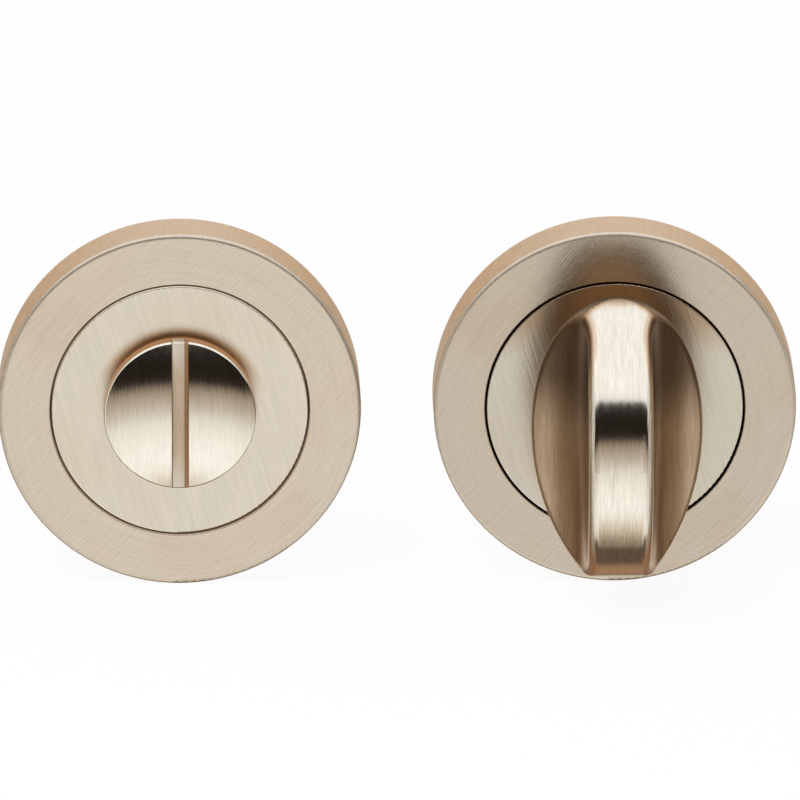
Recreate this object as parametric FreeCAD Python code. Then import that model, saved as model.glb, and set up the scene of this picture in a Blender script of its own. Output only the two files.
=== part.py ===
"""Bathroom turn and release: a thumb turn and its coin release, each on a round screw-on rose.

Millimetres. The door face is the plane Y = 0, both roses stand out of it towards -Y, and +Z is up.
The thumb turn's axis is the Y axis. The release stands beside it, on the side of -X.
A depth is a distance from the door face towards the room, so the point at depth d has Y = -d.
"""

import FreeCAD, Part
import math
import os

# Rose, the same on both halves
ROSE_DIAMETER = 52.0
ROSE_HEIGHT = 9.0
ROSE_GAP = 10.4
RING_FACE_WIDTH = 7.35
RING_LIP = 2.5
RING_WALL = 2.35
RING_EDGE_ROUND = 0.55
RING_MOUTH_ROUND = 0.15
RING_FOOT_GAP = 0.2
THREAD_CLEARANCE = 0.05
DISC_GAP = 0.3
DISC_EDGE_ROUND = 0.15
FLANGE_OVERLAP = 3.0
FLANGE_THICKNESS = 1.5
HUB_WALL = 3.3
HUB_LENGTH = 1.5
HUB_CLEARANCE = 0.1

# Shank, and the bearing that it turns in
SHANK_DIAMETER = 12.0
SHANK_TAIL = 0.65
RUNNING_CLEARANCE = 0.05
AXIAL_CLEARANCE = 0.05
BUSH_WALL = 1.45
BUSH_FLANGE_WIDTH = 2.0
BUSH_FLANGE_THICKNESS = 0.9
WASHER_CLEARANCE = 0.3
THRUST_WASHER_WIDTH = 2.3
THRUST_WASHER_THICKNESS = 0.8
THRUST_POCKET_DEPTH = 0.5
THRUST_POCKET_CLEARANCE = 0.1
SPRING_WASHER_WIDTH = 2.9
SPRING_WASHER_THICKNESS = 0.35
SPRING_WASHER_BOW = 0.2
CIRCLIP_THICKNESS = 1.0
CIRCLIP_WIDTH = 1.8
CIRCLIP_TAPER = 0.3
CIRCLIP_OPENING = 2.6
CIRCLIP_SEAT = 0.02
GROOVE_DEPTH = 0.4
LUG_RADIUS = 1.7
LUG_REACH = 1.6
LUG_HOLE_RADIUS = 0.8

# Base plate, and the screws that hold it to the door
BASE_EDGE_CHAMFER = 0.4
BOLT_HOLE_DIAMETER = 4.3
BOLT_HEAD_DIAMETER = 7.8
BOLT_HEAD_DEPTH = 2.4
BOLT_EDGE_DISTANCE = 4.6
SCREW_EDGE_DISTANCE = 6.1
SCREW_DIAMETER = 3.5
SCREW_CORE_DIAMETER = 2.5
SCREW_LENGTH = 25.0
SCREW_POINT = 4.5
SCREW_HEAD_DIAMETER = 6.8
SCREW_HEAD_RIM = 0.3
SCREW_HEAD_SINK = 0.15
SCREW_CLEARANCE = 0.15
RECESS_SPAN = 3.6
RECESS_WIDTH = 0.9
RECESS_DEPTH = 1.6

# Square spindle, and the spring pin that holds it in the thumb turn
SPINDLE_SIZE = 5.0
SPINDLE_REACH = 54.5
SPINDLE_SEAT = 7.0
SPINDLE_CHAMFER = 0.6
SOCKET_CLEARANCE = 0.05
PIN_DIAMETER = 2.5
PIN_WALL = 0.45
PIN_SLIT = 0.6
PIN_SINK = 0.3
PIN_CLEARANCE = 0.03

# Thumb turn's grip: an oval with a round crest, scooped on both sides
GRIP_WIDTH = 26.3
GRIP_HEIGHT = 34.0
GRIP_WIDEST_HEIGHT = 18.5
GRIP_END_OVERRUN = 0.25
GRIP_FOOT_MARGIN = 0.1
CREST_RADIUS = 20.4
CREST_CORNER_ROUND = 3.0
SCOOP_RADIUS = 16.0
SCOOP_RIM_ROUND = 1.6
WAIST_WIDTH = 9.2
WAIST_DROP = 9.5

# Release button: a dome with a coin slot across it
BUTTON_DIAMETER = 21.8
BUTTON_WALL_HEIGHT = 2.8
BUTTON_EDGE_ROUND = 0.4
DOME_RISE = 2.75
SLOT_WIDTH = 2.4
SLOT_DEPTH = 2.65
SOCKET_DEPTH = 9.0

# Radii that follow
RING_RADIUS = ROSE_DIAMETER / 2
OPENING_RADIUS = RING_RADIUS - RING_FACE_WIDTH
SKIRT_RADIUS = RING_RADIUS - RING_WALL
BASE_RADIUS = SKIRT_RADIUS - THREAD_CLEARANCE
DISC_RADIUS = OPENING_RADIUS - DISC_GAP
FLANGE_RADIUS = OPENING_RADIUS + FLANGE_OVERLAP
SHANK_RADIUS = SHANK_DIAMETER / 2
BUSH_BORE_RADIUS = SHANK_RADIUS + RUNNING_CLEARANCE
BUSH_RADIUS = BUSH_BORE_RADIUS + BUSH_WALL
HUB_RADIUS = BUSH_RADIUS + HUB_WALL
HUB_HOLE_RADIUS = HUB_RADIUS + HUB_CLEARANCE
WASHER_BORE_RADIUS = SHANK_RADIUS + WASHER_CLEARANCE
THRUST_WASHER_RADIUS = WASHER_BORE_RADIUS + THRUST_WASHER_WIDTH
THRUST_POCKET_RADIUS = THRUST_WASHER_RADIUS + THRUST_POCKET_CLEARANCE
SPRING_WASHER_RADIUS = WASHER_BORE_RADIUS + SPRING_WASHER_WIDTH
GROOVE_RADIUS = SHANK_RADIUS - GROOVE_DEPTH
BOLT_OFFSET = BASE_RADIUS - BOLT_EDGE_DISTANCE
SCREW_OFFSET = BASE_RADIUS - SCREW_EDGE_DISTANCE
BUTTON_RADIUS = BUTTON_DIAMETER / 2

# Depths that follow, from the front of the rose back to the end of the shank
FACE = ROSE_HEIGHT
LIP_BACK = FACE - RING_LIP
BASE_FRONT = LIP_BACK - FLANGE_THICKNESS
HUB_BACK = BASE_FRONT - HUB_LENGTH
THRUST_FLOOR = FACE - THRUST_POCKET_DEPTH
HEAD_BACK = THRUST_FLOOR + THRUST_WASHER_THICKNESS + AXIAL_CLEARANCE
BUSH_BACK = HUB_BACK - BUSH_FLANGE_THICKNESS
CIRCLIP_FRONT = BUSH_BACK - SPRING_WASHER_THICKNESS - SPRING_WASHER_BOW - AXIAL_CLEARANCE
CIRCLIP_BACK = CIRCLIP_FRONT - CIRCLIP_THICKNESS
SHANK_END = CIRCLIP_BACK - SHANK_TAIL
PIN_DEPTH = (HUB_BACK + THRUST_FLOOR) / 2
SPINDLE_TOP = FACE + SPINDLE_SEAT
SCREW_HEAD_TOP = BASE_FRONT - SCREW_HEAD_SINK
SCREW_HEAD_HEIGHT = (SCREW_HEAD_DIAMETER - SCREW_DIAMETER) / 2 + SCREW_HEAD_RIM

# Grip's sizes that follow: heights are above the rose's face, and the crest is an arc about a line across
CREST_CENTRE = GRIP_HEIGHT - CREST_RADIUS
GRIP_HALF_WIDTH = GRIP_WIDTH / 2
GRIP_HALF_LENGTH = CREST_RADIUS + GRIP_END_OVERRUN
GRIP_FOOT_HALF_WIDTH = THRUST_POCKET_RADIUS + GRIP_FOOT_MARGIN
WAIST_HEIGHT = GRIP_HEIGHT - WAIST_DROP
SCOOP_OFFSET = WAIST_WIDTH / 2 + SCOOP_RADIUS
HALF_SPACING = ROSE_DIAMETER + ROSE_GAP

ORIGIN = FreeCAD.Vector(0, 0, 0)
ACROSS = FreeCAD.Vector(1, 0, 0)
INTO_DOOR = FreeCAD.Vector(0, 1, 0)
OUT_OF_DOOR = FreeCAD.Vector(0, -1, 0)
UP = FreeCAD.Vector(0, 0, 1)


def at(x, depth, z=0.0):
    """Give the point at this depth, x across and z up from the axis."""
    return FreeCAD.Vector(x, -depth, z)


def turned(outline):
    """Revolve a closed outline of (radius, depth) corners about the axis of the rose."""
    corners = [at(radius, depth) for radius, depth in outline]
    wire = Part.makePolygon(corners + corners[:1])
    return Part.Face(wire).revolve(ORIGIN, INTO_DOOR, 360)


def rod(radius, back, front, x=0.0, z=0.0):
    """Make a round rod between two depths, parallel to the axis."""
    return Part.makeCylinder(radius, front - back, at(x, back, z), OUT_OF_DOOR)


def square_bar(size, back, front):
    """Make a square bar on the axis between two depths."""
    return Part.makeBox(size, front - back, size, at(-size / 2, front, -size / 2))


def circles_at(shape, radius, depth):
    """List the shape's round edges on the axis with this radius and depth."""
    found = []
    for edge in shape.Edges:
        if edge.Degenerated:
            continue
        curve = edge.Curve
        if not isinstance(curve, Part.Circle):
            continue
        if abs(curve.Radius - radius) < 1e-6 and curve.Center.isEqual(at(0, depth), 1e-6):
            found.append(edge)
    return found


def cover_ring():
    """Make the screw-on ring: a skirt over the base plate, with a lip that clamps the face disc."""
    ring = turned([
        (OPENING_RADIUS, LIP_BACK),
        (OPENING_RADIUS, FACE),
        (RING_RADIUS, FACE),
        (RING_RADIUS, RING_FOOT_GAP),
        (SKIRT_RADIUS, RING_FOOT_GAP),
        (SKIRT_RADIUS, LIP_BACK),
    ])
    ring = ring.makeFillet(RING_EDGE_ROUND, circles_at(ring, RING_RADIUS, FACE))
    return ring.makeFillet(RING_MOUTH_ROUND, circles_at(ring, OPENING_RADIUS, FACE))


def face_disc():
    """Make the disc inside the ring, with a flange under the lip and a hub that holds the bush."""
    disc = turned([
        (BUSH_RADIUS, HUB_BACK),
        (BUSH_RADIUS, THRUST_FLOOR),
        (THRUST_POCKET_RADIUS, THRUST_FLOOR),
        (THRUST_POCKET_RADIUS, FACE),
        (DISC_RADIUS, FACE),
        (DISC_RADIUS, LIP_BACK),
        (FLANGE_RADIUS, LIP_BACK),
        (FLANGE_RADIUS, BASE_FRONT),
        (HUB_RADIUS, BASE_FRONT),
        (HUB_RADIUS, HUB_BACK),
    ])
    return disc.makeFillet(DISC_EDGE_ROUND, circles_at(disc, DISC_RADIUS, FACE))


def bush():
    """Make the bearing sleeve, with a flange behind the hub."""
    return turned([
        (BUSH_BORE_RADIUS, BUSH_BACK),
        (BUSH_BORE_RADIUS, THRUST_FLOOR),
        (BUSH_RADIUS, THRUST_FLOOR),
        (BUSH_RADIUS, HUB_BACK),
        (BUSH_RADIUS + BUSH_FLANGE_WIDTH, HUB_BACK),
        (BUSH_RADIUS + BUSH_FLANGE_WIDTH, BUSH_BACK),
    ])


def thrust_washer():
    """Make the flat washer that the head turns on, in its pocket in the face disc."""
    front = THRUST_FLOOR + THRUST_WASHER_THICKNESS
    return turned([
        (WASHER_BORE_RADIUS, THRUST_FLOOR),
        (WASHER_BORE_RADIUS, front),
        (THRUST_WASHER_RADIUS, front),
        (THRUST_WASHER_RADIUS, THRUST_FLOOR),
    ])


def spring_washer():
    """Make the bowed washer behind the bush: a ring of thin sheet, curved about a line across it."""
    bend_radius = (SPRING_WASHER_RADIUS**2 + SPRING_WASHER_BOW**2) / (2 * SPRING_WASHER_BOW)
    bend_centre = at(-SPRING_WASHER_RADIUS, BUSH_BACK - bend_radius)
    width = 2 * SPRING_WASHER_RADIUS
    outer = Part.makeCylinder(bend_radius, width, bend_centre, ACROSS)
    inner = Part.makeCylinder(bend_radius - SPRING_WASHER_THICKNESS, width, bend_centre, ACROSS)
    front = BUSH_BACK + SPRING_WASHER_THICKNESS
    ring = rod(SPRING_WASHER_RADIUS, CIRCLIP_FRONT, front)
    ring = ring.cut(rod(WASHER_BORE_RADIUS, CIRCLIP_FRONT, front))
    return ring.common(outer.cut(inner)).Solids[0]


def circlip():
    """Make the retaining ring in the shank's groove: thick at the top, with two drilled lugs below."""
    outer_radius = GROOVE_RADIUS + CIRCLIP_WIDTH - CIRCLIP_TAPER
    lug_height = -(GROOVE_RADIUS + LUG_REACH)
    lug_side = CIRCLIP_OPENING / 2 + LUG_RADIUS
    clip = rod(outer_radius, CIRCLIP_BACK, CIRCLIP_FRONT, z=CIRCLIP_TAPER)
    for side in (-1, 1):
        clip = clip.fuse(rod(LUG_RADIUS, CIRCLIP_BACK, CIRCLIP_FRONT, side * lug_side, lug_height))
    for side in (-1, 1):
        clip = clip.cut(rod(LUG_HOLE_RADIUS, CIRCLIP_BACK, CIRCLIP_FRONT, side * lug_side, lug_height))
    clip = clip.cut(rod(GROOVE_RADIUS + CIRCLIP_SEAT, CIRCLIP_BACK, CIRCLIP_FRONT))
    opening = Part.makeBox(
        CIRCLIP_OPENING,
        CIRCLIP_THICKNESS,
        outer_radius,
        at(-CIRCLIP_OPENING / 2, CIRCLIP_FRONT, -CIRCLIP_TAPER - outer_radius),
    )
    return clip.cut(opening).Solids[0]


def base_plate():
    """Make the plate on the door, with countersunk screw holes and counterbored bolt holes."""
    plate = turned([
        (HUB_HOLE_RADIUS, 0),
        (HUB_HOLE_RADIUS, BASE_FRONT),
        (BASE_RADIUS - BASE_EDGE_CHAMFER, BASE_FRONT),
        (BASE_RADIUS, BASE_FRONT - BASE_EDGE_CHAMFER),
        (BASE_RADIUS, BASE_EDGE_CHAMFER),
        (BASE_RADIUS - BASE_EDGE_CHAMFER, 0),
    ])
    for side in (-1, 1):
        plate = plate.cut(rod(BOLT_HOLE_DIAMETER / 2, 0, BASE_FRONT, x=side * BOLT_OFFSET))
        head_floor = BASE_FRONT - BOLT_HEAD_DEPTH
        plate = plate.cut(rod(BOLT_HEAD_DIAMETER / 2, head_floor, BASE_FRONT, x=side * BOLT_OFFSET))
        plate = plate.cut(screw_blank(SCREW_CLEARANCE).translated(at(0, 0, side * SCREW_OFFSET)))
    return plate


def screw_blank(clearance=0.0):
    """Revolve the countersunk screw on the axis, wider all over by the clearance."""
    shank = SCREW_DIAMETER / 2 + clearance
    head = SCREW_HEAD_DIAMETER / 2 + clearance
    top = SCREW_HEAD_TOP
    if clearance:
        top = BASE_FRONT
    rim_back = SCREW_HEAD_TOP - SCREW_HEAD_RIM
    neck = SCREW_HEAD_TOP - SCREW_HEAD_HEIGHT
    core = SCREW_CORE_DIAMETER / 2 + clearance
    tip = SCREW_HEAD_TOP - SCREW_LENGTH
    return turned([
        (0, top),
        (head, top),
        (head, rim_back),
        (shank, neck),
        (shank, 0),
        (core, 0),
        (core, tip + SCREW_POINT),
        (0, tip),
    ])


def wood_screws():
    """Make the two screws with their cross recesses, above and below the axis."""
    floor = SCREW_HEAD_TOP - RECESS_DEPTH
    span, width = RECESS_SPAN, RECESS_WIDTH
    upright = Part.makeBox(width, RECESS_DEPTH, span, at(-width / 2, SCREW_HEAD_TOP, -span / 2))
    level = Part.makeBox(span, RECESS_DEPTH, width, at(-span / 2, SCREW_HEAD_TOP, -width / 2))
    screw = screw_blank().cut(upright.fuse(level))
    return Part.makeCompound([screw.translated(at(0, 0, side * SCREW_OFFSET)) for side in (-1, 1)])


def shank():
    """Make the round shank behind a head, with the groove for its circlip."""
    groove = rod(SHANK_RADIUS, CIRCLIP_BACK - AXIAL_CLEARANCE, CIRCLIP_FRONT)
    groove = groove.cut(rod(GROOVE_RADIUS, CIRCLIP_BACK - AXIAL_CLEARANCE, CIRCLIP_FRONT))
    return rod(SHANK_RADIUS, SHANK_END, HEAD_BACK).cut(groove)


def grip_hull():
    """Make the grip before its ends and sides are cut: an oval column on half an ellipsoid."""
    centre = at(0, FACE + GRIP_WIDEST_HEIGHT)
    oval = Part.Ellipse(centre + UP * GRIP_HALF_LENGTH, centre + ACROSS * GRIP_HALF_WIDTH, centre)
    quarter = math.pi / 2
    ends = [Part.ArcOfEllipse(oval, start, start + math.pi).toShape() for start in (quarter, 3 * quarter)]
    column = Part.Face(Part.Wire(ends)).extrude(OUT_OF_DOOR * GRIP_HEIGHT)
    latitude = math.acos(GRIP_FOOT_HALF_WIDTH / GRIP_HALF_WIDTH)
    half_depth = (FACE + GRIP_WIDEST_HEIGHT - HEAD_BACK) / math.sin(latitude)
    bowl = Part.makeSphere(1.0, ORIGIN, UP, -math.degrees(latitude), 0, 360)
    stretch = FreeCAD.Matrix()
    stretch.scale(GRIP_HALF_WIDTH, GRIP_HALF_LENGTH, half_depth)
    bowl = bowl.transformGeometry(stretch)
    bowl.rotate(ORIGIN, ACROSS, 90)
    bowl.translate(centre)
    return column.fuse(bowl)


def grip_crest():
    """Make what the crest leaves of the grip: a drum across it, with a slab of its height behind."""
    centre = at(-GRIP_HALF_WIDTH, FACE + CREST_CENTRE)
    drum = Part.makeCylinder(CREST_RADIUS, GRIP_WIDTH, centre, ACROSS)
    back = at(-GRIP_HALF_WIDTH, FACE + CREST_CENTRE, -CREST_RADIUS)
    slab = Part.makeBox(GRIP_WIDTH, FACE + CREST_CENTRE, 2 * CREST_RADIUS, back)
    return drum.fuse(slab)


def scoop():
    """Make what is scooped out of the grip's right side: round behind the waist, straight before it."""
    length = 4 * CREST_RADIUS
    below = UP * (-length / 2)
    hollow = Part.makeCylinder(SCOOP_RADIUS, length, at(SCOOP_OFFSET, FACE + WAIST_HEIGHT) + below, UP)
    corner = at(WAIST_WIDTH / 2, FACE + GRIP_HEIGHT) + below
    return hollow.fuse(Part.makeBox(SCOOP_RADIUS, WAIST_DROP, length, corner))


def thumb_turn():
    """Make the cast thumb turn: the scooped grip and its shank, bored for the spindle and its pin."""
    grip = grip_hull().common(grip_crest())
    grip = grip.makeFillet(CREST_CORNER_ROUND, [edge for edge in grip.Edges if on_crest(edge)])
    right_scoop = scoop()
    left_scoop = right_scoop.mirror(ORIGIN, ACROSS)
    grip = grip.cut(Part.makeCompound([right_scoop, left_scoop])).Solids[0]
    rims = [edge for edge in grip.Edges if on_scoop(edge)]
    grip = grip.makeFillet(SCOOP_RIM_ROUND, rims)
    turn = grip.fuse(shank())
    socket = square_bar(SPINDLE_SIZE + 2 * SOCKET_CLEARANCE, SHANK_END, SPINDLE_TOP + SOCKET_CLEARANCE)
    return turn.cut(socket).cut(pin_hole())


def points_on(edge):
    """List a few points along an edge."""
    length = edge.LastParameter - edge.FirstParameter
    return [edge.valueAt(edge.FirstParameter + share * length) for share in (0.1, 0.4, 0.8)]


def on_crest(edge):
    """Tell whether an edge runs round the crest, and not straight across it."""
    if edge.Degenerated or edge.BoundBox.YLength < 1e-6:
        return False
    for point in points_on(edge):
        height = max(0, -point.y - FACE - CREST_CENTRE)
        if abs(math.hypot(height, point.z) - CREST_RADIUS) > 1e-3:
            return False
    return True


def on_scoop(edge):
    """Tell whether an edge is the rim of either scoop, and not the line along its waist."""
    if edge.BoundBox.YLength < 1e-6:
        return False
    for point in points_on(edge):
        depth = max(0, point.y + FACE + WAIST_HEIGHT)
        if abs(math.hypot(depth, SCOOP_OFFSET - abs(point.x)) - SCOOP_RADIUS) > 1e-3:
            return False
    return True


def pin_hole():
    """Make the hole for the spring pin, right across the shank."""
    radius = PIN_DIAMETER / 2 + PIN_CLEARANCE
    return Part.makeCylinder(radius, SHANK_DIAMETER, at(-SHANK_RADIUS, PIN_DEPTH), ACROSS)


def spindle():
    """Make the square spindle, chamfered at both ends and drilled for its pin."""
    bar = square_bar(SPINDLE_SIZE, -SPINDLE_REACH, SPINDLE_TOP)
    ends = [edge for edge in bar.Edges if edge.BoundBox.YLength < 1e-6]
    return bar.makeChamfer(SPINDLE_CHAMFER, ends).cut(pin_hole())


def spindle_pin():
    """Make the spring pin: a slit tube across the shank, just short of its sides."""
    length = SHANK_DIAMETER - 2 * PIN_SINK
    start = at(-length / 2, PIN_DEPTH)
    radius = PIN_DIAMETER / 2
    tube = Part.makeCylinder(radius, length, start, ACROSS)
    tube = tube.cut(Part.makeCylinder(radius - PIN_WALL, length, start, ACROSS))
    slit = Part.makeBox(length, radius, PIN_SLIT, at(-length / 2, PIN_DEPTH + radius, -PIN_SLIT / 2))
    return tube.cut(slit).Solids[0]


def release_button():
    """Make the release: a domed head with a coin slot, on a shank with a square socket."""
    wall_front = FACE + BUTTON_WALL_HEIGHT
    apex = wall_front + DOME_RISE
    dome_radius = (BUTTON_RADIUS**2 + DOME_RISE**2) / (2 * DOME_RISE)
    half_angle = math.asin(BUTTON_RADIUS / dome_radius) / 2
    shoulder = at(
        dome_radius * math.sin(half_angle),
        apex - dome_radius * (1 - math.cos(half_angle)),
    )
    dome_edge = at(BUTTON_RADIUS, wall_front)
    dome = Part.Arc(at(0, apex), shoulder, dome_edge).toShape()
    sides = Part.makePolygon([dome_edge, at(BUTTON_RADIUS, HEAD_BACK), at(0, HEAD_BACK), at(0, apex)])
    head = Part.Face(Part.Wire([dome] + sides.Edges)).revolve(ORIGIN, INTO_DOOR, 360)
    head = head.makeFillet(BUTTON_EDGE_ROUND, circles_at(head, BUTTON_RADIUS, wall_front))
    slot = Part.makeBox(
        SLOT_WIDTH,
        SLOT_DEPTH,
        BUTTON_DIAMETER,
        at(-SLOT_WIDTH / 2, apex, -BUTTON_RADIUS),
    )
    button = head.cut(slot).fuse(shank())
    return button.cut(square_bar(SPINDLE_SIZE + 2 * SOCKET_CLEARANCE, SHANK_END, SHANK_END + SOCKET_DEPTH))


def rose_pieces():
    """Make the pieces that both halves have, by the last part of their names."""
    return {
        "cover_ring": cover_ring(),
        "face_disc": face_disc(),
        "base_plate": base_plate(),
        "wood_screws": wood_screws(),
        "bush": bush(),
        "thrust_washer": thrust_washer(),
        "spring_washer": spring_washer(),
        "circlip": circlip(),
    }


def all_pieces():
    """Make every piece of both halves in its place, by name."""
    pieces = {
        "thumb_turn": thumb_turn(),
        "spindle": spindle(),
        "spindle_pin": spindle_pin(),
    }
    beside = at(-HALF_SPACING, 0)
    pieces["release_button"] = release_button().translated(beside)
    for name, shape in rose_pieces().items():
        pieces["turn_" + name] = shape
        pieces["release_" + name] = shape.translated(beside)
    return pieces


os.makedirs("parts", exist_ok=True)
for piece_name, piece in all_pieces().items():
    piece.exportStep("parts/" + piece_name + ".step")
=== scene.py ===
"""Looks of a bathroom turn and release: finishes, screw threads, studio and camera. Metres."""

import logging
import math
from collections.abc import Sequence
from dataclasses import dataclass
from enum import Enum
from typing import Any, Union

import bmesh
import bpy
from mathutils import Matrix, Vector

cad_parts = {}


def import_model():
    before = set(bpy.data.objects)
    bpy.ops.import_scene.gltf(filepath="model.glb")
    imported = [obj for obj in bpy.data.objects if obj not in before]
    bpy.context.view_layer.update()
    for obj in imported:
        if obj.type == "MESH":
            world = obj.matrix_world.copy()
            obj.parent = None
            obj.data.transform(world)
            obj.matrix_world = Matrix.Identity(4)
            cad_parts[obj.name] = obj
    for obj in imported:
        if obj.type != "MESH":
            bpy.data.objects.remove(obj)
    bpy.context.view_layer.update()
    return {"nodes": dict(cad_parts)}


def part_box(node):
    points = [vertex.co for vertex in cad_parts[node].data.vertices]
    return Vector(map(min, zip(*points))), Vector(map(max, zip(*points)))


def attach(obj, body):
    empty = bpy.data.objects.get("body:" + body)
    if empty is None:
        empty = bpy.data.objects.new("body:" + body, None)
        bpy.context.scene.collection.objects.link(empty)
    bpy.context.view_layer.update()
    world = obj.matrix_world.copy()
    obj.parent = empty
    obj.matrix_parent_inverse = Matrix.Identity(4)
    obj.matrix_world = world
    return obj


log = logging.getLogger("turn_and_release")

Colour = tuple[float, float, float]
Place = tuple[float, float, float]
Band = tuple[float, float]
Stops = Sequence[tuple[float, Colour]]
Term = Union["Wire", float]

MM = 0.001
DEGREES = 180.0 / math.pi
WHITE: Colour = (1.0, 1.0, 1.0)

# Axis of the scoop in the right side of the grip; the left side mirrors it
SCOOP_AXIS_X = 20.6 * MM
SCOOP_AXIS_Y = -33.5 * MM


def rgba(colour: Colour) -> tuple[float, float, float, float]:
    """Give a colour an opaque alpha."""
    return (*colour, 1.0)


def toned(colour: Colour, tone: float) -> Colour:
    """Make a colour lighter or darker."""
    return tuple(part * tone for part in colour)


class Wire:
    """One output of a node, with Python's operators for maths on values."""

    def __init__(self, net: "Net", made: bpy.types.Node, output: Union[int, str] = 0) -> None:
        """Keep what the wire comes from.

        Args:
            net: The net that the node is in.
            made: The node.
            output: Name or number of its output.
        """
        self.net = net
        self.made = made
        self.output = output

    @property
    def socket(self) -> bpy.types.NodeSocket:
        """Give the output socket itself."""
        return self.made.outputs[self.output]

    def __getitem__(self, output: Union[int, str]) -> "Wire":
        """Give another output of the same node."""
        return Wire(self.net, self.made, output)

    def __add__(self, other: Term) -> "Wire":
        """Add a value."""
        return self.net.maths("ADD", self, other)

    def __radd__(self, other: Term) -> "Wire":
        """Add to a number."""
        return self.net.maths("ADD", other, self)

    def __sub__(self, other: Term) -> "Wire":
        """Take a value away."""
        return self.net.maths("SUBTRACT", self, other)

    def __rsub__(self, other: Term) -> "Wire":
        """Take away from a number."""
        return self.net.maths("SUBTRACT", other, self)

    def __mul__(self, other: Term) -> "Wire":
        """Multiply by a value."""
        return self.net.maths("MULTIPLY", self, other)

    def __rmul__(self, other: Term) -> "Wire":
        """Multiply a number."""
        return self.net.maths("MULTIPLY", other, self)

    def __truediv__(self, other: Term) -> "Wire":
        """Divide by a value."""
        return self.net.maths("DIVIDE", self, other)

    def __rtruediv__(self, other: Term) -> "Wire":
        """Divide a number."""
        return self.net.maths("DIVIDE", other, self)

    def __abs__(self) -> "Wire":
        """Drop the sign."""
        return self.net.maths("ABSOLUTE", self)


class Net:
    """A node tree that is filled one node at a time."""

    # Sockets of a Mix node that hold colours
    MIX_FIRST = 6
    MIX_SECOND = 7
    MIX_RESULT = 2

    def __init__(self, tree: bpy.types.NodeTree) -> None:
        """Start from an empty tree."""
        self.tree = tree
        tree.nodes.clear()

    def node(
        self,
        kind: str,
        settings: dict[str, Any],
        inputs: dict[Union[int, str], Any],
        output: Union[int, str] = 0,
    ) -> Wire:
        """Add a node.

        Args:
            kind: Blender's name of the type, without its prefix.
            settings: Attributes, which are set first; stops fills a colour ramp.
            inputs: Values or wires, by the socket's name or number.
            output: Name or number of the output that is given back.

        Returns:
            The wire from that output.
        """
        made = self.tree.nodes.new("ShaderNode" + kind)
        for name, value in settings.items():
            if name == "stops":
                self.fill_ramp(made.color_ramp, value)
            else:
                setattr(made, name, value)
        for name, value in inputs.items():
            if isinstance(value, Wire):
                self.tree.links.new(value.socket, made.inputs[name])
            else:
                made.inputs[name].default_value = value
        return Wire(self, made, output)

    @staticmethod
    def fill_ramp(ramp: bpy.types.ColorRamp, stops: Stops) -> None:
        """Set a colour ramp's stops.

        Args:
            ramp: The ramp of a new node, which has two stops.
            stops: Places from 0 to 1 with their colours, in order.
        """
        while len(ramp.elements) < len(stops):
            ramp.elements.new(1.0)
        for element, (place, colour) in zip(ramp.elements, stops):
            element.position = place
            element.color = rgba(colour)

    def maths(self, operation: str, first: Term, second: Term = 0.0) -> Wire:
        """Add a Math node on one or two values."""
        return self.node("Math", {"operation": operation}, {0: first, 1: second})

    def step(self, value: Term, low: float, high: float) -> Wire:
        """Rise smoothly from 0 to 1 as a value goes from low to high, or down to it."""
        settings = {"interpolation_type": "SMOOTHSTEP"}
        return self.node("MapRange", settings, {"Value": value, "From Min": low, "From Max": high})

    def mix(self, share: Term, first: Any, second: Any) -> Wire:
        """Mix two colours.

        Args:
            share: How much of the second colour shows.
            first: A wire or an RGBA colour.
            second: A wire or an RGBA colour.

        Returns:
            The mixed colour.
        """
        inputs = {0: share, self.MIX_FIRST: first, self.MIX_SECOND: second}
        return self.node("Mix", {"data_type": "RGBA"}, inputs, self.MIX_RESULT)

    def ramp(self, value: Term, stops: Stops) -> Wire:
        """Look a colour up by a value.

        Args:
            value: The value, in the unit of the stops.
            stops: Values with their colours, in order.

        Returns:
            The colour.
        """
        first, last = stops[0][0], stops[-1][0]
        places = [((at - first) / (last - first), colour) for at, colour in stops]
        share = (value - first) * (1.0 / (last - first))
        return self.node("ValToRGB", {"stops": places}, {0: share})

    def vector(self, x: Term, y: Term, z: Term) -> Wire:
        """Join three values to a vector."""
        return self.node("CombineXYZ", {}, {0: x, 1: y, 2: z})

    def length(self, x: Term, y: Term, z: Term) -> Wire:
        """Measure the length of a vector."""
        settings = {"operation": "LENGTH"}
        return self.node("VectorMath", settings, {0: self.vector(x, y, z)}, "Value")

    def noise(self, vector: Wire, scale: float, detail: float, fourth: Term = 0.0) -> Wire:
        """Add a noise of 0 to 1, over a vector and a fourth value."""
        inputs = {"Vector": vector, "W": fourth, "Scale": scale, "Detail": detail}
        return self.node("TexNoise", {"noise_dimensions": "4D"}, inputs)

    def seen(self, path: Wire) -> Wire:
        """Give 1 for what the camera sees, also through clear pieces."""
        return self.maths("MINIMUM", path["Is Camera Ray"] + path["Is Transmission Ray"], 1.0)

    def surface(self, inputs: dict[str, Any], height: Wire, relief: float) -> None:
        """End a material in its shader, with a fine relief.

        Args:
            inputs: The shader's inputs by name.
            height: Height of the relief, from 0 to 1.
            relief: How far a height of 1 stands out.
        """
        bump = self.node("Bump", {}, {"Strength": 1.0, "Distance": relief, "Height": height})
        shader = self.node("BsdfPrincipled", {}, {**inputs, "Normal": bump})
        self.node("OutputMaterial", {}, {"Surface": shader})


def new_material(name: str) -> tuple[bpy.types.Material, Net]:
    """Make an empty node material.

    Args:
        name: The material's name.

    Returns:
        The material and its net.
    """
    material = bpy.data.materials.new(name)
    material.use_nodes = True
    return material, Net(material.node_tree)


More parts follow.
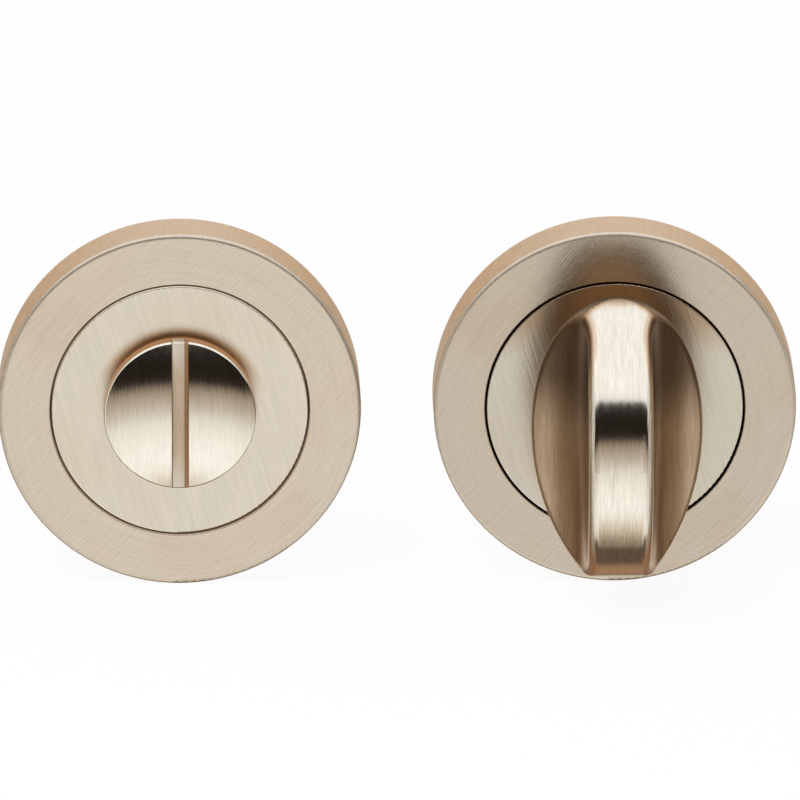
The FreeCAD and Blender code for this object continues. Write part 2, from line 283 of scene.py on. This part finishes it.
def new_piece(name: str, mesh: bmesh.types.BMesh) -> bpy.types.Object:
    """Turn a finished mesh into an object of the scene.

    Args:
        name: Name of the object and its mesh.
        mesh: The mesh, which is freed.

    Returns:
        The object.
    """
    data = bpy.data.meshes.new(name)
    mesh.to_mesh(data)
    mesh.free()
    piece = bpy.data.objects.new(name, data)
    bpy.context.scene.collection.objects.link(piece)
    return piece


def dress(obj: bpy.types.Object, material: bpy.types.Material) -> None:
    """Give every slot of an object one material, with a slot if it has none.

    Args:
        obj: A mesh object.
        material: The finish.
    """
    if not obj.material_slots:
        obj.data.materials.append(material)
    for slot in obj.material_slots:
        slot.material = material
    log.info("dressed %s in %s", obj.name, material.name)


class Grain(Enum):
    """How a piece was brushed."""

    UPRIGHT = "straight up the face and over its dome"
    CREST = "straight up the sides and along the crest"
    ROUND = "round the axis"


@dataclass(frozen=True)
class Zone:
    """A part of a piece with a tone of its own: mostly painted shade and painted reflections, such as
    the shade in a gap or slot and the browner sides of the grip, and also a duller edge.

    Each band gives where the zone starts to show and where it shows in full: depth along Y, radius
    from the piece's axis, width to both sides of it, right and rise along X and Z, and scoop from the
    axis of the grip's scoop.
    """

    colour: Colour
    roughness: float
    depth: Band | None = None
    radius: Band | None = None
    width: Band | None = None
    right: Band | None = None
    rise: Band | None = None
    scoop: Band | None = None

    def mask(self, net: Net, parts: Wire) -> Wire:
        """Mark the zone.

        Args:
            net: The material's net.
            parts: The place from the piece's axis, in X, Y and Z.

        Returns:
            1 in the zone and 0 elsewhere.
        """
        bands = []
        if self.depth:
            bands.append(net.step(parts["Y"], *self.depth))
        if self.radius:
            bands.append(net.step(net.length(parts["X"], 0.0, parts["Z"]), *self.radius))
        if self.width:
            bands.append(net.step(abs(parts["X"]), *self.width))
        if self.right:
            bands.append(net.step(parts["X"], *self.right))
        if self.rise:
            bands.append(net.step(parts["Z"], *self.rise))
        if self.scoop:
            reach = net.length(abs(parts["X"]) - SCOOP_AXIS_X, parts["Y"] - SCOOP_AXIS_Y, 0.0)
            bands.append(net.step(reach, *self.scoop))
        mask = bands[0]
        for band in bands[1:]:
            mask = mask * band
        return mask


@dataclass(frozen=True)
class BrushedNickel:
    """Satin nickel plate, brushed in one direction or round an axis.

    The brush marks are noise that is stretched along the grain. They tint the plate, change its gloss
    and raise a fine relief. Clouds change its tone at random over larger parts, and zones paint shade
    and reflections into its colour, or make an edge duller.
    """

    name: str
    grain: Grain
    centre_x: float = 0.0
    coarse_grain: Grain | None = None
    colour: Colour = (0.90, 0.86, 0.775)
    roughness: float = 0.15
    slant: float = 0.0
    mark_width: float = 0.17 * MM
    mark_length: float = 2.6 * MM
    coarseness: float = 3.1
    fine_share: float = 0.6
    relief: float = 0.03 * MM
    wander: float = 0.25 * MM
    wander_size: float = 6.0 * MM
    tint: float = 0.26
    gloss_change: float = 0.10
    crest_centre: float = -22.6 * MM
    crest_radius: Band = (19.9 * MM, 20.15 * MM)
    flank_share: float = 0.35
    ring_girth: float = 22.0 * MM
    cloud_size: float = 13.0 * MM
    cloud_band: Band = (0.42, 0.75)
    cloud_tone: Colour = (0.92, 0.845, 0.76)
    cloud_share: float = 0.2
    zones: tuple[Zone, ...] = ()

    def place(self, net: Net, slant: float) -> Wire:
        """Measure the place on the piece from its centre line.

        Args:
            net: The material's net.
            slant: Angle that the place is turned by, about the piece's axis.

        Returns:
            The place, as a vector.
        """
        return net.node(
            "Mapping",
            {"vector_type": "TEXTURE"},
            {
                "Vector": net.node("TexCoord", {}, {}, "Object"),
                "Location": (self.centre_x, 0.0, 0.0),
                "Rotation": (0.0, slant, 0.0),
            },
        )

    def brush_marks(self, net: Net, place: Wire, grain: Grain, coarseness: float) -> Wire:
        """Draw brush marks of one size.

        Args:
            net: The material's net.
            place: The place on the piece, turned to the grain.
            grain: The way that these marks run.
            coarseness: How much coarser these marks are than the finest ones.

        Returns:
            A noise of 0 to 1 that is drawn out along the grain.
        """
        parts = net.node("SeparateXYZ", {}, {0: place})
        drift = net.noise(place, 1.0 / (self.wander_size * coarseness), 1.0)
        sway = (drift - 0.5) * (2.0 * self.wander * coarseness)
        across = 1.0 / (self.mark_width * coarseness)
        along = 1.0 / (self.mark_length * coarseness)
        if grain is Grain.ROUND:
            radius = net.length(parts["X"], 0.0, parts["Z"])
            turns = self.ring_girth * along
            spun = net.vector(
                parts["X"] / radius * turns,
                (radius + sway) * across,
                parts["Z"] / radius * turns,
            )
            return net.noise(spun, 1.0, 2.0, parts["Y"] * across)
        depth = along
        if grain is Grain.CREST:
            reach = net.length(0.0, parts["Y"] - self.crest_centre, parts["Z"])
            flank = across * self.flank_share
            depth = flank + net.step(reach, *self.crest_radius) * (along - flank)
        drawn = net.vector((parts["X"] + sway) * across, parts["Y"] * depth, parts["Z"] * along)
        return net.noise(drawn, 1.0, 2.0)

    def material(self) -> bpy.types.Material:
        """Build the finish.

        Returns:
            The material.
        """
        material, net = new_material(self.name)
        place = self.place(net, self.slant)
        fine = self.brush_marks(net, place, self.grain, 1.0)
        coarse = self.brush_marks(net, place, self.coarse_grain or self.grain, self.coarseness)
        marks = fine * self.fine_share + coarse * (1.0 - self.fine_share)
        shade = 1.0 - self.tint + marks * (2.0 * self.tint)
        haze = net.noise(place, 1.0 / self.cloud_size, 2.0)
        cloud = net.step(haze, *self.cloud_band) * self.cloud_share
        warm = tuple(own * tone for own, tone in zip(self.colour, self.cloud_tone))
        plate = net.mix(cloud, rgba(self.colour), rgba(warm))
        rough = self.roughness + (marks - 0.5) * self.gloss_change
        upright = net.node("SeparateXYZ", {}, {0: self.place(net, 0.0)})
        # Each zone paints shade or reflection into the plate, or dulls an edge
        for zone in self.zones:
            share = zone.mask(net, upright)
            plate = net.mix(share, plate, rgba(zone.colour))
            rough = rough + share * (zone.roughness - rough)
        colour = net.node("VectorMath", {"operation": "SCALE"}, {0: plate, "Scale": shade})
        net.surface({"Base Color": colour, "Metallic": 1.0, "Roughness": rough}, marks, self.relief)
        return material


@dataclass(frozen=True)
class PlainMetal:
    """Cast or plated metal with a mottled tone and a fine uneven surface."""

    name: str
    colour: Colour
    stain: Colour
    roughness: float
    mottle_size: float = 4.0 * MM
    mottle_gloss: float = 0.2
    stain_band: Band = (0.35, 0.7)
    speck_size: float = 0.25 * MM
    speck_gloss: float = 0.1
    relief: float = 0.01 * MM

    def material(self) -> bpy.types.Material:
        """Build the finish.

        Returns:
            The material.
        """
        material, net = new_material(self.name)
        place = net.node("TexCoord", {}, {}, "Object")
        mottle = net.noise(place, 1.0 / self.mottle_size, 4.0)
        specks = net.noise(place, 1.0 / self.speck_size, 2.0)
        stained = net.step(mottle, *self.stain_band)
        colour = net.mix(stained, rgba(self.colour), rgba(self.stain))
        rough = self.roughness + (mottle - 0.5) * self.mottle_gloss + (specks - 0.5) * self.speck_gloss
        net.surface({"Base Color": colour, "Metallic": 1.0, "Roughness": rough}, specks, self.relief)
        return material


@dataclass(frozen=True)
class Nylon:
    """Natural nylon, a little uneven in tone."""

    name: str = "natural_nylon"
    colour: Colour = (0.80, 0.77, 0.69)
    shade: Colour = (0.74, 0.70, 0.61)
    roughness: float = 0.45
    gloss_change: float = 0.2
    clouds_a_metre: float = 300.0
    grains_a_metre: float = 6000.0
    relief: float = 0.004 * MM
    clarity: float = 0.15
    clear_depth: float = 0.5 * MM

    def material(self) -> bpy.types.Material:
        """Build the finish.

        Returns:
            The material.
        """
        material, net = new_material(self.name)
        place = net.node("TexCoord", {}, {}, "Object")
        cloud = net.noise(place, self.clouds_a_metre, 3.0)
        grain = net.noise(place, self.grains_a_metre, 1.0)
        inputs = {
            "Base Color": net.mix(cloud, rgba(self.colour), rgba(self.shade)),
            "Roughness": self.roughness + (cloud - 0.5) * self.gloss_change,
            "Subsurface Weight": self.clarity,
            "Subsurface Scale": self.clear_depth,
        }
        net.surface(inputs, grain, self.relief)
        return material


class PlainFinishes:
    """The finishes of the pieces behind the faces, made once for both halves."""

    def __init__(self) -> None:
        """Make each material."""
        zinc = PlainMetal("cast_zinc", (0.55, 0.56, 0.57), (0.43, 0.44, 0.45), 0.48)
        steel = PlainMetal("plated_steel", (0.66, 0.65, 0.62), (0.55, 0.55, 0.53), 0.32)
        spring = PlainMetal("oiled_spring_steel", (0.14, 0.14, 0.15), (0.09, 0.085, 0.085), 0.38)
        self.zinc = zinc.material()
        self.steel = steel.material()
        self.spring = spring.material()
        self.nylon = Nylon().material()


@dataclass
class ScrewThreads:
    """The helical threads on one rose's two wood screws, which stand above and below its axis."""

    rose: str
    core_radius: float = 1.25 * MM
    thread_radius: float = 1.75 * MM
    thread_pitch: float = 1.35 * MM
    thread_foot: float = 0.75 * MM
    sink: float = 0.1 * MM
    start: float = 1.2 * MM
    end_gap: float = 0.4 * MM
    point: float = 4.5 * MM
    least_share: float = 0.12
    steps_a_turn: int = 28

    def ridge(self, mesh: bmesh.types.BMesh, axis: Vector, tip: float) -> None:
        """Wind one ridge of even size round a screw.

        Args:
            mesh: The mesh that the ridge is added to.
            axis: A point on the screw's axis, with Y at the start of the thread.
            tip: Y of the screw's tip.
        """
        foot = self.core_radius - self.sink
        half = self.thread_foot / 2
        corners = [(foot, -half), (self.thread_radius, 0.0), (foot, half)]
        points = [mesh.verts.new(axis + Vector((x, y, 0.0))) for x, y in corners]
        edges = [mesh.edges.new((points[i], points[i - 1])) for i in range(len(points))]
        turns = (tip - axis.y - self.end_gap) / self.thread_pitch
        steps = round(turns * self.steps_a_turn)
        bmesh.ops.spin(
            mesh,
            geom=points + edges,
            cent=axis,
            axis=(0.0, 1.0, 0.0),
            dvec=(0.0, turns * self.thread_pitch / steps, 0.0),
            angle=2.0 * math.pi * turns,
            steps=steps,
        )
        ends = [edge for edge in mesh.edges if edge.is_boundary]
        bmesh.ops.holes_fill(mesh, edges=ends, sides=len(points))

    def taper(self, mesh: bmesh.types.BMesh, axis: Vector, tip: float) -> None:
        """Draw a ridge in to the screw's pointed end.

        Args:
            mesh: The mesh of one ridge.
            axis: A point on the screw's axis.
            tip: Y of the screw's tip.
        """
        for vert in mesh.verts:
            share = min(1.0, max(self.least_share, (tip - vert.co.y) / self.point))
            vert.co.x = axis.x + (vert.co.x - axis.x) * share
            vert.co.z = axis.z + (vert.co.z - axis.z) * share

    def build(self) -> bpy.types.Object:
        """Build both ridges as one piece.

        Returns:
            The piece, riding on the roses.
        """
        low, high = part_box(self.rose + "_wood_screws")
        centre_x = (low.x + high.x) / 2
        head_radius = (high.x - low.x) / 2
        tip = high.y
        mesh = bmesh.new()
        for height in (low.z + head_radius, high.z - head_radius):
            own = bmesh.new()
            axis = Vector((centre_x, self.start, height))
            self.ridge(own, axis, tip)
            self.taper(own, axis, tip)
            bmesh.ops.recalc_face_normals(own, faces=own.faces)
            part = bpy.data.meshes.new("ridge")
            own.to_mesh(part)
            own.free()
            mesh.from_mesh(part)
            bpy.data.meshes.remove(part)
        piece = new_piece(self.rose + "_screw_threads", mesh)
        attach(piece, "roses")
        return piece


@dataclass
class Rose:
    """One half's rose: the brushed ring and disc in front, and the plate and bearing behind them.

    The halo is painted reflection and shade of the head, a darker tone of the disc above it. On a door
    the halves stand on opposite faces and don't mirror each other, so the metal here shows only one of
    the roses.
    """

    name: str
    centre_x: float
    # tone scales the rose's whole nickel plate: painted light, the same plate shaded on the turn's rose
    # and lit on the release's
    tone: float
    # Painted reflection and shade of the head on the disc above it
    painted_halo: Zone
    mirrored: bool
    ring_colour: Colour = (0.83, 0.755, 0.655)
    ring_roughness: float = 0.27
    ring_slant: float = math.radians(42.0)
    ring_wander: float = 0.55 * MM
    ring_tint: float = 0.24
    ring_clouds: float = 0.4
    edge_colour: Colour = (0.80, 0.72, 0.62)
    edge_roughness: float = 0.45
    edge_radius: Band = (25.3 * MM, 25.5 * MM)
    disc_colour: Colour = (0.90, 0.86, 0.76)
    disc_roughness: float = 0.28
    disc_slant: float = math.radians(-16.0)
    disc_clouds: float = 0.25
    mark_length: float = 5.0 * MM
    # Painted shade in the gap between the ring and the disc
    gap_shade_colour: Colour = (0.07, 0.05, 0.04)
    gap_roughness: float = 0.6
    gap_depth: Band = (-8.8 * MM, -8.6 * MM)
    gap_radius: Band = (18.9 * MM, 18.75 * MM)

    def ring(self) -> BrushedNickel:
        """Describe the finish of the cover ring, with a dull edge and painted shade in the gap round
        the disc.

        Returns:
            The finish.
        """
        edge = Zone(self.edge_colour, self.edge_roughness, radius=self.edge_radius)
        gap_shade = Zone(self.gap_shade_colour, self.gap_roughness, depth=self.gap_depth, radius=self.gap_radius)
        return BrushedNickel(
            self.name + "_ring_nickel",
            Grain.UPRIGHT,
            self.centre_x,
            coarse_grain=Grain.ROUND,
            slant=self.ring_slant,
            colour=toned(self.ring_colour, self.tone),
            roughness=self.ring_roughness,
            mark_length=self.mark_length,
            wander=self.ring_wander,
            tint=self.ring_tint,
            cloud_share=self.ring_clouds,
            zones=(edge, gap_shade),
        )

    def disc(self) -> BrushedNickel:
        """Describe the finish of the face disc, with its halo of painted reflection and shade, and
        painted shade in the gap round it.

        Returns:
            The finish.
        """
        gap_shade = Zone(self.gap_shade_colour, self.gap_roughness, depth=self.gap_depth)
        return BrushedNickel(
            self.name + "_disc_nickel",
            Grain.UPRIGHT,
            self.centre_x,
            slant=self.disc_slant,
            colour=toned(self.disc_colour, self.tone),
            roughness=self.disc_roughness,
            mark_length=self.mark_length,
            cloud_share=self.disc_clouds,
            zones=(self.painted_halo, gap_shade),
        )

    def build(self, nodes: dict[str, bpy.types.Object], plain: PlainFinishes) -> None:
        """Dress the rose's CAD pieces, and add the threads of its screws.

        Args:
            nodes: The CAD nodes by name.
            plain: The finishes of the pieces behind the face.
        """
        finishes = {
            "cover_ring": self.ring().material(),
            "face_disc": self.disc().material(),
            "base_plate": plain.zinc,
            "wood_screws": plain.steel,
            "bush": plain.nylon,
            "thrust_washer": plain.nylon,
            "spring_washer": plain.spring,
            "circlip": plain.spring,
        }
        for piece, material in finishes.items():
            node = nodes[self.name + "_" + piece]
            dress(node, material)
            node.visible_glossy = self.mirrored
        dress(ScrewThreads(self.name).build(), plain.steel)


@dataclass
class ThumbTurn:
    """The grip with its shank, the spindle and the spindle's pin."""

    tint: float = 0.42
    flank_share: float = 0.22
    # Painted reflection and shade: the back of the grip in dark brown
    back_reflection_colour: Colour = (0.25, 0.145, 0.07)
    back_depth: Band = (-27.5 * MM, -22.0 * MM)
    # Painted reflection: copper rims round the scoops
    rim_reflection_colour: Colour = (0.74, 0.57, 0.43)
    rim_roughness: float = 0.2
    rim_reach: Band = (17.5 * MM, 16.9 * MM)
    # Painted reflection: brown scooped sides
    side_reflection_colour: Colour = (0.51, 0.375, 0.255)
    side_roughness: float = 0.25
    side_reach: Band = (16.9 * MM, 16.1 * MM)
    # Painted shade: the tops of the scooped sides darker
    top_shade_colour: Colour = (0.16, 0.105, 0.07)
    top_rise: Band = (-1.0 * MM, 10.0 * MM)
    # Painted light: the feet of the scooped sides lighter
    foot_light_colour: Colour = (0.62, 0.47, 0.34)
    foot_rise: Band = (-3.0 * MM, -12.0 * MM)
    shank_colour: Colour = (0.75, 0.70, 0.62)
    shank_depth: Band = (-9.2 * MM, -8.8 * MM)
    dull: float = 0.3
    # Painted reflection and shade of the grip on the disc above it
    halo_reflection_colour: Colour = (0.60, 0.47, 0.33)
    halo_roughness: float = 0.28
    halo_rise: Band = (7.0 * MM, 14.0 * MM)

    def painted_halo(self) -> Zone:
        """Give the painted reflection and shade of the grip, a darker tone of the disc above it."""
        return Zone(self.halo_reflection_colour, self.halo_roughness, rise=self.halo_rise)

    def grip(self) -> BrushedNickel:
        """Describe the finish of the grip: a bright crest, and painted reflections and shade that make
        its rims, scooped sides and back browner, the tops of the sides darker and their feet lighter.

        Returns:
            The finish.
        """
        rough = self.side_roughness
        # All zones but the shank's paint reflection or shade into the grip's colour
        zones = (
            Zone(self.back_reflection_colour, self.dull, depth=self.back_depth),
            Zone(self.rim_reflection_colour, self.rim_roughness, scoop=self.rim_reach),
            Zone(self.side_reflection_colour, rough, scoop=self.side_reach),
            Zone(self.top_shade_colour, rough, rise=self.top_rise, scoop=self.side_reach),
            Zone(self.foot_light_colour, rough, rise=self.foot_rise, scoop=self.side_reach),
            Zone(self.shank_colour, self.dull, depth=self.shank_depth),
        )
        return BrushedNickel(
            "grip_nickel",
            Grain.CREST,
            tint=self.tint,
            flank_share=self.flank_share,
            zones=zones,
        )

    def build(self, nodes: dict[str, bpy.types.Object], plain: PlainFinishes) -> None:
        """Dress the turn's CAD pieces.

        Args:
            nodes: The CAD nodes by name.
            plain: The finishes of the pieces behind the face.
        """
        dress(nodes["spindle"], plain.steel)
        dress(nodes["spindle_pin"], plain.spring)
        dress(nodes["thumb_turn"], self.grip().material())


@dataclass
class CoinRelease:
    """The domed button with its coin slot."""

    centre_x: float
    colour: Colour = (0.95, 0.92, 0.84)
    roughness: float = 0.14
    # Painted reflection: the button's wall in brown
    wall_reflection_colour: Colour = (0.50, 0.32, 0.18)
    wall_depth: Band = (-11.7 * MM, -11.3 * MM)
    wall_radius: Band = (10.5 * MM, 10.7 * MM)
    slot_depth: Band = (-9.5 * MM, -10.5 * MM)
    slot_width: Band = (1.25 * MM, 1.21 * MM)
    # Painted shade: the slot dark, darkest at its walls
    slot_shade_colour: Colour = (0.24, 0.16, 0.10)
    slot_roughness: float = 0.35
    floor_width: Band = (1.15 * MM, 0.95 * MM)
    # Painted shade: the slot's floor in floor_colour, lighter than its walls but darker than the dome
    floor_colour: Colour = (0.68, 0.57, 0.43)
    ends_radius: Band = (5.0 * MM, 10.5 * MM)
    # Painted light: the slot's floor lighter towards its ends
    ends_light_colour: Colour = (0.84, 0.77, 0.68)
    # Painted shade: a darker brown strip along the right side of the slot, in edge_colour
    shaded_strip_right: Band = (0.45 * MM, 0.75 * MM)
    edge_colour: Colour = (0.40, 0.25, 0.14)
    dull: float = 0.3
    # Painted reflection and shade of the button on the disc above it
    halo_reflection_colour: Colour = (0.58, 0.38, 0.22)
    halo_radius: Band = (13.0 * MM, 11.2 * MM)
    halo_rise: Band = (2.0 * MM, 8.0 * MM)

    def painted_halo(self) -> Zone:
        """Give the painted reflection and shade of the button, a darker tone of the disc above it."""
        return Zone(self.halo_reflection_colour, self.dull, radius=self.halo_radius, rise=self.halo_rise)

    def button(self) -> BrushedNickel:
        """Describe the finish of the button: a bright dome, a wall browned by a painted reflection and
        painted shade in the slot.

        Returns:
            The finish.
        """
        deep = self.slot_depth
        floor = self.floor_width
        # Every zone paints reflection or shade into the button's colour
        zones = (
            Zone(self.wall_reflection_colour, self.dull, depth=self.wall_depth, radius=self.wall_radius),
            Zone(self.slot_shade_colour, self.slot_roughness, depth=deep, width=self.slot_width),
            Zone(self.floor_colour, self.dull, depth=deep, width=floor),
            Zone(self.ends_light_colour, self.dull, depth=deep, width=floor, radius=self.ends_radius),
            Zone(self.edge_colour, self.dull, depth=deep, width=self.slot_width, right=self.shaded_strip_right),
        )
        return BrushedNickel(
            "button_nickel",
            Grain.UPRIGHT,
            self.centre_x,
            colour=self.colour,
            roughness=self.roughness,
            zones=zones,
        )

    def build(self, nodes: dict[str, bpy.types.Object]) -> None:
        """Dress the button, whose CAD node is one of those given by name."""
        dress(nodes["release_button"], self.button().material())


@dataclass(frozen=True)
class Surroundings:
    """What the metal mirrors, in degrees: heights above the horizon, and sides from the front.

    In front it is pale below and dark above, at the sides it has bright and brown walls, and behind it
    is coppery. A white ceiling closes it.
    """

    front: Stops = (
        (-90.0, (0.12, 0.08, 0.055)),
        (-84.0, (0.20, 0.145, 0.10)),
        (-76.0, (0.44, 0.35, 0.27)),
        (-66.0, (0.72, 0.63, 0.53)),
        (-56.0, (0.93, 0.88, 0.81)),
        (-46.0, (1.0, 0.98, 0.95)),
        (-30.0, (0.96, 0.93, 0.88)),
        (-16.0, (0.82, 0.785, 0.73)),
        (-5.0, (0.55, 0.48, 0.405)),
        (5.0, (0.37, 0.295, 0.225)),
        (9.0, (0.22, 0.17, 0.13)),
        (12.0, (0.012, 0.008, 0.005)),
        (90.0, (0.012, 0.008, 0.005)),
    )
    walls: Stops = (
        (-180.0, (0.72, 0.485, 0.295)),
        (-140.0, (0.62, 0.42, 0.255)),
        (-130.0, (0.36, 0.24, 0.15)),
        (-121.0, (0.30, 0.235, 0.165)),
        (-104.0, (0.30, 0.235, 0.165)),
        (-95.0, (0.45, 0.39, 0.31)),
        (-84.0, (0.78, 0.76, 0.70)),
        (-74.0, (0.90, 0.89, 0.83)),
        (-60.0, (0.60, 0.55, 0.48)),
        (60.0, (0.50, 0.44, 0.36)),
        (70.0, (0.70, 0.64, 0.56)),
        (74.0, (1.0, 1.0, 1.0)),
        (80.0, (1.0, 1.0, 1.0)),
        (86.0, (0.74, 0.72, 0.66)),
        (93.0, (0.42, 0.36, 0.28)),
        (104.0, (0.34, 0.26, 0.185)),
        (121.0, (0.30, 0.225, 0.155)),
        (130.0, (0.24, 0.16, 0.10)),
        (140.0, (0.62, 0.42, 0.255)),
        (180.0, (0.72, 0.485, 0.295)),
    )
    low_back: Stops = (
        (-70.0, (0.31, 0.18, 0.105)),
        (-42.0, (0.36, 0.21, 0.125)),
        (-28.0, (0.14, 0.08, 0.04)),
        (-10.0, (0.14, 0.08, 0.04)),
    )
    bow: float = 0.0045
    ahead_side: Band = (68.0, 56.0)
    behind_side: Band = (118.0, 136.0)
    behind_height: Band = (-5.0, -12.0)
    pale_colour: Colour = (0.74, 0.66, 0.56)
    pale_side: Band = (140.0, 154.0)
    pale_height: Band = (-34.0, -24.0)
    skirt_colour: Colour = (0.12, 0.08, 0.055)
    skirt_height: Band = (-58.0, -68.0)
    ceiling_colour: Colour = (1.0, 0.985, 0.965)
    ceiling_ahead: Band = (40.5, 43.0)
    ceiling_around: Band = (20.0, 46.0)
    even_light: Colour = (0.55, 0.55, 0.55)

    def mirrored(self, net: Net) -> Wire:
        """Paint what the metal mirrors.

        Args:
            net: The world's net.

        Returns:
            Its colour in each direction.
        """
        parts = net.node("SeparateXYZ", {}, {0: net.node("TexCoord", {}, {}, "Generated")})
        height = net.maths("ARCSINE", parts["Z"]) * DEGREES
        side = net.maths("ARCTAN2", parts["X"], parts["Y"] * -1.0) * DEGREES
        bowed = height + side * side * self.bow
        behind = net.step(abs(side), *self.behind_side) * net.step(height, *self.behind_height)
        pale = net.step(abs(side), *self.pale_side) * net.step(height, *self.pale_height)
        low = net.mix(pale, net.ramp(height, self.low_back), rgba(self.pale_colour))
        coppery = net.mix(behind, net.ramp(side, self.walls), low)
        skirted = net.mix(net.step(height, *self.skirt_height), coppery, rgba(self.skirt_colour))
        ahead = net.step(abs(side), *self.ahead_side)
        around = net.mix(ahead, skirted, net.ramp(bowed, self.front))
        over_front = ahead * net.step(bowed, *self.ceiling_ahead)
        over_rest = (1.0 - ahead) * net.step(height, *self.ceiling_around)
        return net.mix(over_front + over_rest, around, rgba(self.ceiling_colour))

    def build(self) -> None:
        """Set the world: white to the camera, a soft even light, and the studio that metal mirrors."""
        world = bpy.data.worlds.new("studio")
        bpy.context.scene.world = world
        world.use_nodes = True
        net = Net(world.node_tree)
        path = net.node("LightPath", {}, {})
        light = net.mix(path["Is Glossy Ray"], rgba(self.even_light), self.mirrored(net))
        shown = net.mix(net.seen(path), light, rgba(WHITE))
        back = net.node("Background", {}, {"Color": shown, "Strength": 1.0})
        net.node("OutputWorld", {}, {"Surface": back})


@dataclass
class Studio:
    """The pale floor, the surroundings, the lamp and the camera."""

    floor_z: float = -26.1 * MM
    floor_size: float = 12.0
    floor_colour: Colour = (0.85, 0.85, 0.85)
    floor_whiteness: float = 0.94
    azimuth: float = math.radians(-1.2)
    elevation: float = math.radians(16.0)
    distance: float = 4.0
    frame_width: float = 114.7 * MM
    aim: Place = (-30.82 * MM, -8.66 * MM, 1.18 * MM)
    sensor: float = 36.0
    lamp_size: float = 0.5
    lamp_power: float = 6.0
    lamp_place: Place = (-0.3, -0.45, 0.7)

    def camera(self) -> None:
        """Stand the camera where the photograph was taken from."""
        back = Vector((
            math.sin(self.azimuth) * math.cos(self.elevation),
            -math.cos(self.azimuth) * math.cos(self.elevation),
            math.sin(self.elevation),
        ))
        data = bpy.data.cameras.new("camera")
        data.sensor_width = self.sensor
        data.lens = self.sensor * self.distance / self.frame_width
        camera = bpy.data.objects.new("camera", data)
        camera.location = Vector(self.aim) + back * self.distance
        camera.rotation_euler = (-back).to_track_quat("-Z", "Y").to_euler()
        bpy.context.scene.collection.objects.link(camera)
        bpy.context.scene.camera = camera

    def floor(self) -> None:
        """Lay the pale floor, which shows white to the camera but for the object's shadow."""
        mesh = bmesh.new()
        bmesh.ops.create_grid(mesh, x_segments=1, y_segments=1, size=self.floor_size / 2)
        bmesh.ops.translate(mesh, verts=mesh.verts, vec=(0.0, 0.0, self.floor_z))
        piece = new_piece("floor", mesh)
        piece.visible_glossy = False
        material, net = new_material("pale_floor")
        seen = net.seen(net.node("LightPath", {}, {}))
        paper = net.node("BsdfDiffuse", {}, {"Color": rgba(self.floor_colour)})
        white = net.node("Emission", {}, {"Color": rgba(WHITE), "Strength": 1.0})
        shown = net.node("MixShader", {}, {0: seen * self.floor_whiteness, 1: paper, 2: white})
        net.node("OutputMaterial", {}, {"Surface": shown})
        dress(piece, material)

    def lamp(self) -> None:
        """Hang one large soft lamp above, in front and to the left, for the floor's shadow."""
        data = bpy.data.lights.new("soft_lamp", "AREA")
        data.shape = "SQUARE"
        data.size = self.lamp_size
        data.energy = self.lamp_power
        lamp = bpy.data.objects.new("soft_lamp", data)
        lamp.location = self.lamp_place
        lamp.rotation_euler = (-Vector(self.lamp_place)).to_track_quat("-Z", "Y").to_euler()
        lamp.visible_glossy = False
        bpy.context.scene.collection.objects.link(lamp)

    def build(self) -> None:
        """Set the whole studio."""
        self.camera()
        self.floor()
        Surroundings().build()
        self.lamp()
        bpy.context.scene.view_settings.view_transform = "Standard"


def main() -> None:
    """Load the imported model, set the studio, dress each half and add the new pieces."""
    logging.basicConfig(level=logging.INFO, format="%(message)s")
    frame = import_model()
    nodes = frame["nodes"]
    Studio().build()

    plain = PlainFinishes()
    low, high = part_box("release_cover_ring")
    release_x = (low.x + high.x) / 2
    turn = ThumbTurn()
    release = CoinRelease(release_x)
    # Both roses carry one plate: tone 0.9 is painted shade and 1.03 painted light; each halo is painted
    # reflection and shade
    Rose("turn", 0.0, tone=0.9, painted_halo=turn.painted_halo(), mirrored=True).build(nodes, plain)
    Rose("release", release_x, tone=1.03, painted_halo=release.painted_halo(), mirrored=False).build(nodes, plain)
    turn.build(nodes, plain)
    release.build(nodes)


if __name__ == "__main__":
    main()
